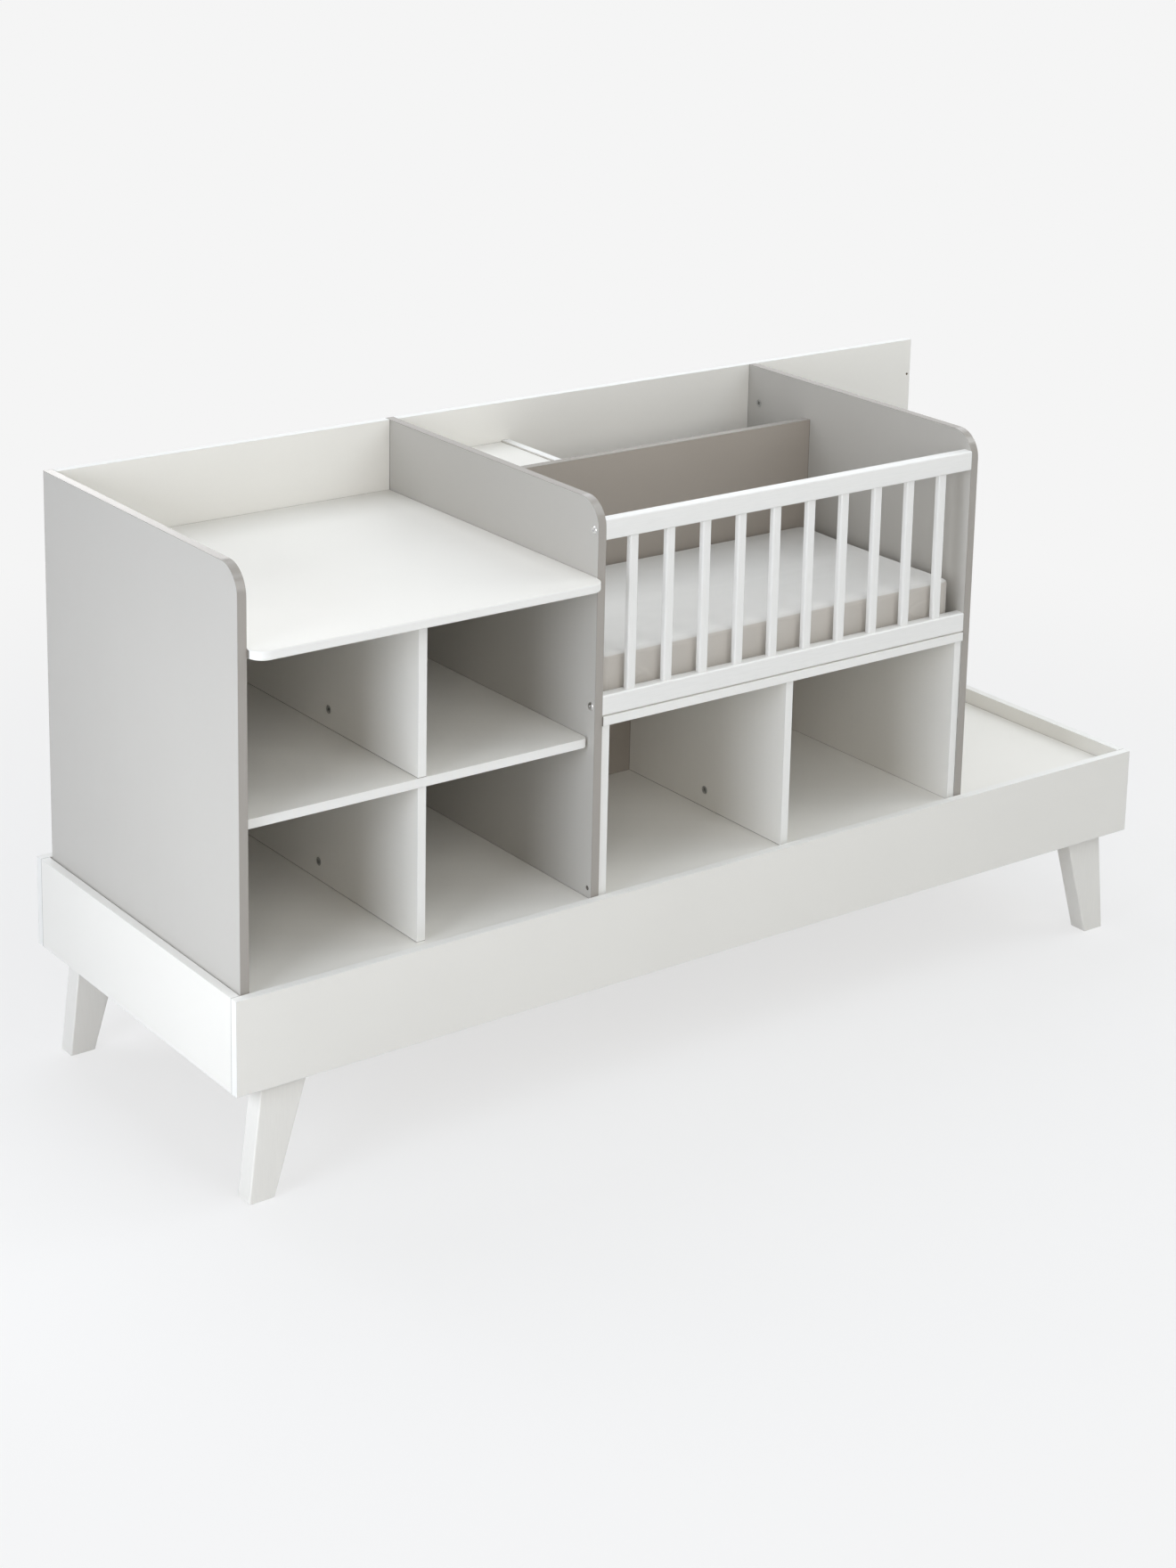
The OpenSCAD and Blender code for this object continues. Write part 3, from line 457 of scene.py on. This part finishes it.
LACQUER = [lacquer("white_lacquer_" + "xyz"[i], i, WHITE_LACQUER) for i in range(3)]
LEG_LACQUER = lacquer("white_lacquer_leg", 2, WHITE_LEG)
BEECH = [beech("beech_" + "xyz"[i], i) for i in range(3)]
CAST_ZINC = metal("cast_zinc", ZINC_GREY, 0.36, 0.45)
NICKEL = metal("nickel_plated", NICKEL_GREY, 0.12, 0.20)

for name, obj in frame["nodes"].items():
    if name == "mattress":
        continue
    material = finish_node(name)
    obj.data.materials.clear()
    obj.data.materials.append(material)


# ---- mattress ----
MATTRESS_LOW, MATTRESS_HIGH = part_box("mattress")
EDGE_R = 6 * MM                        # the foam's edge under the cover
CORNER_R = 18 * MM
SHRINK = 1.2 * MM                      # the cover swells from a smaller start
VOXEL = 5 * MM
SWELL_CAP = 1.4 * MM
CLOTH_FRAMES = 20
COVER_CLOTH = {
    "quality": 5,
    "mass": 0.25,
    "tension_stiffness": 18,
    "compression_stiffness": 18,
    "shear_stiffness": 6,
    "bending_stiffness": 0.6,
    "use_pressure": True,
    "uniform_pressure_force": 4.0,
}
SIDE_WAVE = 0.8 * MM                   # heights of the cover's folds
CORNER_GATHER = 0.5 * MM
TOP_CREASE = 0.7 * MM
TOP_DENT = 1.0 * MM
WAVE_SCALE = (13, 4)                   # noise cells per metre, along the sides and upwards
CREASE_SCALE = (3.0, 17.0)             # and along the top's length and width
DENT_SCALE = (4.5, 5.5)
GATHER_RATE = 190                      # radians of gathers per metre round a corner
DRAWN_IN = 2.5 * MM                    # the sides between the corners
CROWN = 1.4 * MM
CLEAR = 0.3 * MM                       # kept free inside the mattress's box


def rounded_slab(name, low, high, edge_r, corner_r):
    """A closed slab with rounded upright corners and rolled edges, as rings of an outline."""
    corner_steps, edge_steps = 10, 6
    half = (high - low) / 2
    centre = (high + low) / 2

    def outline(inset):
        points = []
        for quarter, (sx, sy) in enumerate(((1, 1), (-1, 1), (-1, -1), (1, -1))):
            cx, cy = sx * (half.x - corner_r), sy * (half.y - corner_r)
            for i in range(corner_steps + 1):
                a = math.radians(90 * (quarter + i / corner_steps))
                r = corner_r - inset
                points.append((centre.x + cx + r * math.cos(a), centre.y + cy + r * math.sin(a)))
        return points

    rings = []
    for i in range(edge_steps + 1):
        a = math.radians(90 * i / edge_steps)
        rings.append((edge_r * (1 - math.sin(a)), low.z + edge_r * (1 - math.cos(a))))
    for i in range(edge_steps + 1):
        a = math.radians(90 * i / edge_steps)
        rings.append((edge_r * (1 - math.cos(a)), high.z - edge_r * (1 - math.sin(a))))
    bm = bmesh.new()
    loops = [[bm.verts.new((x, y, z)) for x, y in outline(r)] for r, z in rings]
    for below, above in zip(loops, loops[1:]):
        for i in range(len(below)):
            j = (i + 1) % len(below)
            bm.faces.new((below[i], below[j], above[j], above[i]))
    bm.faces.new(list(reversed(loops[0])))
    bm.faces.new(loops[-1])
    mesh = bpy.data.meshes.new(name)
    bm.to_mesh(mesh)
    bm.free()
    obj = bpy.data.objects.new(name, mesh)
    scene.collection.objects.link(obj)
    return obj


def apply_modifiers(obj):
    """Bakes every modifier of obj into its mesh."""
    bpy.context.view_layer.update()
    graph = bpy.context.evaluated_depsgraph_get()
    mesh = bpy.data.meshes.new_from_object(obj.evaluated_get(graph))
    obj.modifiers.clear()
    obj.data = mesh


def inflate(obj):
    """The cover swells over the foam as cloth under pressure. No point moves past the cap, and
    the foam keeps the cover from drawing in."""
    start = [(v.co.copy(), v.normal.copy()) for v in obj.data.vertices]
    cloth = obj.modifiers.new("cover", "CLOTH")
    settings = cloth.settings
    for key, value in COVER_CLOTH.items():
        setattr(settings, key, value)
    settings.effector_weights.gravity = 0.0
    for step in range(1, CLOTH_FRAMES + 1):
        scene.frame_set(step)
    apply_modifiers(obj)
    for vertex, (before, normal) in zip(obj.data.vertices, start):
        move = vertex.co - before
        move -= normal * min(0.0, move.dot(normal))
        if move.length > SWELL_CAP:
            move = move.normalized() * SWELL_CAP
        vertex.co = before + move
    scene.frame_set(1)


def smooth_step(value, low, high):
    """0 at low, 1 at high, with a smooth rise between them."""
    t = max(0.0, min(1.0, (value - low) / (high - low)))
    return t * t * (3 - 2 * t)


def ripple(a, b, scale, layer):
    """Noise over two lengths, with its cells per metre along each and a layer of its own."""
    return noise.noise(Vector((a * scale[0], b * scale[1], layer)))


def cover_folds(obj, low, high):
    """Soft vertical waves on the sides, gathers at the corners and faint long creases on the top."""
    centre = (low + high) / 2
    half = (high - low) / 2
    for vertex in obj.data.vertices:
        p = vertex.co
        u = (p.x - centre.x) / half.x
        v = (p.y - centre.y) / half.y
        out = Vector((p.x - centre.x, p.y - centre.y, 0)).normalized()
        on_side = smooth_step(max(abs(u), abs(v)), 0.93, 0.99)
        at_corner = smooth_step(abs(u), 0.84, 1.0) * smooth_step(abs(v), 0.70, 1.0)
        along = p.x + p.y
        waves = ripple(along, p.z, WAVE_SCALE, 1.7)
        gathers = (math.sin(along * GATHER_RATE + 4 * noise.noise(p * 9))
                   * smooth_step(high.z - p.z, 0.015, 0.08))
        p += out * SIDE_WAVE * on_side * waves
        p += out * CORNER_GATHER * at_corner * gathers
        on_top = smooth_step(p.z, high.z - 0.03, high.z - 0.012)
        crease = ripple(p.x, p.y, CREASE_SCALE, 9.1)
        dent = ripple(p.x, p.y, DENT_SCALE, 3.3)
        p.z += on_top * (TOP_CREASE * (0.5 - 2 * abs(crease)) + TOP_DENT * dent)


def draw_in(obj, low, high):
    """The sides draw in between the corners, and the top keeps a low crown."""
    centre = (low + high) / 2
    half = (high - low) / 2
    for vertex in obj.data.vertices:
        p = vertex.co
        u = (p.x - centre.x) / half.x
        v = (p.y - centre.y) / half.y
        p.y -= math.copysign(DRAWN_IN * max(0.0, 1 - u * u) * smooth_step(abs(v), 0.8, 1.0), v)
        p.x -= math.copysign(DRAWN_IN * max(0.0, 1 - v * v) * smooth_step(abs(u), 0.9, 1.0), u)
        crown = max(0.0, 1 - u * u) * max(0.0, 1 - v * v)
        p.z += CROWN * crown * smooth_step(p.z, low.z + 0.05, high.z - 0.01)


def fit_to_box(obj, low, high):
    """Scales the mesh along each axis so that it just fills the box."""
    places = [v.co for v in obj.data.vertices]
    for i in range(3):
        lowest = min(p[i] for p in places)
        scale = (high[i] - low[i]) / (max(p[i] for p in places) - lowest)
        for p in places:
            p[i] = low[i] + (p[i] - lowest) * scale


def mattress():
    """The padded cover that stands for the mattress's solid."""
    shrink = SHRINK
    edge = Vector((shrink, shrink, shrink * 0.5))
    obj = rounded_slab("crib_mattress", MATTRESS_LOW + edge, MATTRESS_HIGH - edge, EDGE_R, CORNER_R)
    remesh = obj.modifiers.new("even", "REMESH")
    remesh.mode = "VOXEL"
    remesh.voxel_size = VOXEL
    apply_modifiers(obj)
    inflate(obj)
    cover_folds(obj, MATTRESS_LOW, MATTRESS_HIGH)
    draw_in(obj, MATTRESS_LOW, MATTRESS_HIGH)
    soften = obj.modifiers.new("soften", "SMOOTH")
    soften.iterations = 1
    finer = obj.modifiers.new("finer", "SUBSURF")
    finer.levels = 1
    finer.render_levels = 1
    apply_modifiers(obj)
    clear = Vector((CLEAR, CLEAR, CLEAR))
    fit_to_box(obj, MATTRESS_LOW + clear, MATTRESS_HIGH - clear)
    obj.data.shade_smooth()
    obj.data.materials.clear()
    obj.data.materials.append(cotton_cover())
    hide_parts("mattress")
    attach(obj, "mattress")


mattress()


# ---- stage, light and camera ----
def path_mix(g, seen, lit):
    """seen for camera, glossy and transmission rays, lit for the others."""
    path = g.add("ShaderNodeLightPath").outputs
    direct = g.math("MAXIMUM", path["Is Camera Ray"], path["Is Glossy Ray"])
    direct = g.math("MAXIMUM", direct, path["Is Transmission Ray"])
    mix = g.add("ShaderNodeMixShader")
    g.put(direct, mix.inputs[0])
    g.links.new(lit, mix.inputs[1])
    g.links.new(seen, mix.inputs[2])
    return mix.outputs[0]


AMBIENT = 0.03                         # the world's own light, seen by nothing directly
AMBIENT_TINT = (1.014, 1.006, 0.981)
FLOOR_SHOWN = 0.28                     # share of the floor's own shading that the camera sees
FLOOR_FADE = (1.1, 3.0)                # and the radii between which that share fades out
FLOOR_SIZE = 60
FLOOR_WHITE = 0.80
AIM = (-0.4, -0.2, 0.6)                # the point that every softbox faces

# Softboxes: azimuth from the front (left is negative), elevation, distance, side, watts, tint
SOFTBOXES = {
    "left_near": (-86, 0, 1.3, 0.6, 1.8, (0.971, 0.998, 1.031)),
    "left": (-75, 15, 3.5, 1.6, 56.0, (0.923, 0.987, 1.090)),
    "front": (-30, 20, 5.5, 3.0, 58.0, (1.040, 1.000, 0.960)),
    "front_near": (10, 30, 3.0, 1.6, 20.0, (0.985, 1.003, 1.012)),
    "front_high": (0, 60, 4.0, 2.4, 20.0, (0.966, 0.990, 1.045)),
    "right": (80, 25, 4.5, 2.4, 47.0, (0.995, 1.003, 1.003)),
    "right_high": (60, 48, 4.5, 2.4, 40.0, (0.937, 1.008, 1.055)),
    "back_right": (125, 40, 4.5, 2.4, 23.5, (0.953, 0.984, 1.063)),
    "back_high": (180, 62, 4.0, 2.4, 67.0, (0.947, 0.997, 1.057)),
    "back_left": (-150, 35, 4.5, 2.4, 31.0, (1.020, 0.983, 0.998)),
    "back_low": (158, 16, 5.0, 1.2, 10.5, (1.000, 1.000, 1.000)),
}


def world():
    """A plain background for the camera, and a faint light for everything else."""
    shell = bpy.data.worlds.new("studio")
    shell.use_nodes = True
    g = Graph(shell.node_tree)
    g.nodes.clear()
    seen = g.add("ShaderNodeBackground")
    seen.inputs["Color"].default_value = (BACKGROUND, BACKGROUND, BACKGROUND, 1)
    lit = g.add("ShaderNodeBackground")
    lit.inputs["Color"].default_value = (*AMBIENT_TINT, 1)
    lit.inputs["Strength"].default_value = AMBIENT
    out = g.add("ShaderNodeOutputWorld")
    g.links.new(path_mix(g, seen.outputs[0], lit.outputs[0]), out.inputs[0])
    scene.world = shell


def floor():
    """A pale floor. The camera sees a share of its shading, near the object only."""
    bpy.ops.mesh.primitive_plane_add(size=FLOOR_SIZE)
    ground = bpy.context.object
    ground.name = "studio_floor"
    material, g, shader = new_material("pale_floor")
    shader.inputs["Base Color"].default_value = (FLOOR_WHITE, FLOOR_WHITE, FLOOR_WHITE, 1)
    shader.inputs["Roughness"].default_value = 0.9
    shader.inputs["Specular IOR Level"].default_value = 0.0
    glow = g.add("ShaderNodeEmission")
    glow.inputs["Color"].default_value = (BACKGROUND, BACKGROUND, BACKGROUND, 1)
    away = g.vector("LENGTH", g.add("ShaderNodeTexCoord").outputs["Object"])
    shown = g.ramp(away, *FLOOR_FADE, to_low=FLOOR_SHOWN, to_high=0.0)
    blend = g.add("ShaderNodeMixShader")
    g.put(g.math("SUBTRACT", 1.0, shown), blend.inputs[0])
    g.links.new(shader.outputs[0], blend.inputs[1])
    g.links.new(glow.outputs[0], blend.inputs[2])
    out = g.nodes["Material Output"]
    g.links.new(path_mix(g, blend.outputs[0], shader.outputs[0]), out.inputs["Surface"])
    ground.data.materials.append(material)


def softbox(name, azimuth, elevation, distance, side, watts, tint):
    """A square area lamp that faces AIM and isn't seen by the camera."""
    light = bpy.data.lights.new(name, "AREA")
    light.shape = "SQUARE"
    light.size = side
    light.energy = watts
    light.color = tint
    turn, rise = math.radians(azimuth), math.radians(elevation)
    away = Vector((math.sin(turn) * math.cos(rise), -math.cos(turn) * math.cos(rise), math.sin(rise)))
    obj = bpy.data.objects.new(name, light)
    obj.location = Vector(AIM) + distance * away
    obj.visible_camera = False
    obj.rotation_euler = away.to_track_quat("Z", "Y").to_euler()
    scene.collection.objects.link(obj)


def camera():
    """The photograph's view."""
    data = bpy.data.cameras.new("photo_view")
    data.sensor_width = SENSOR
    data.sensor_fit = "AUTO"
    data.lens = FOCAL_PX * SENSOR / IMAGE_H
    data.shift_x = (IMAGE_W / 2 - CENTRE_PX[0]) / IMAGE_H
    data.shift_y = (CENTRE_PX[1] - IMAGE_H / 2) / IMAGE_H
    data.clip_end = 100
    obj = bpy.data.objects.new("photo_view", data)
    turn = Matrix.Rotation(math.radians(CAMERA_AZIMUTH), 4, "Z")
    tilt = Matrix.Rotation(math.radians(90 - CAMERA_ELEVATION), 4, "X")
    roll = Matrix.Rotation(math.radians(CAMERA_ROLL), 4, "Z")
    obj.matrix_world = Matrix.Translation(CAMERA_PLACE) @ turn @ tilt @ roll
    scene.collection.objects.link(obj)
    scene.camera = obj


world()
floor()
camera()
for name, settings in SOFTBOXES.items():
    softbox(name, *settings)
scene.view_settings.view_transform = "Standard"
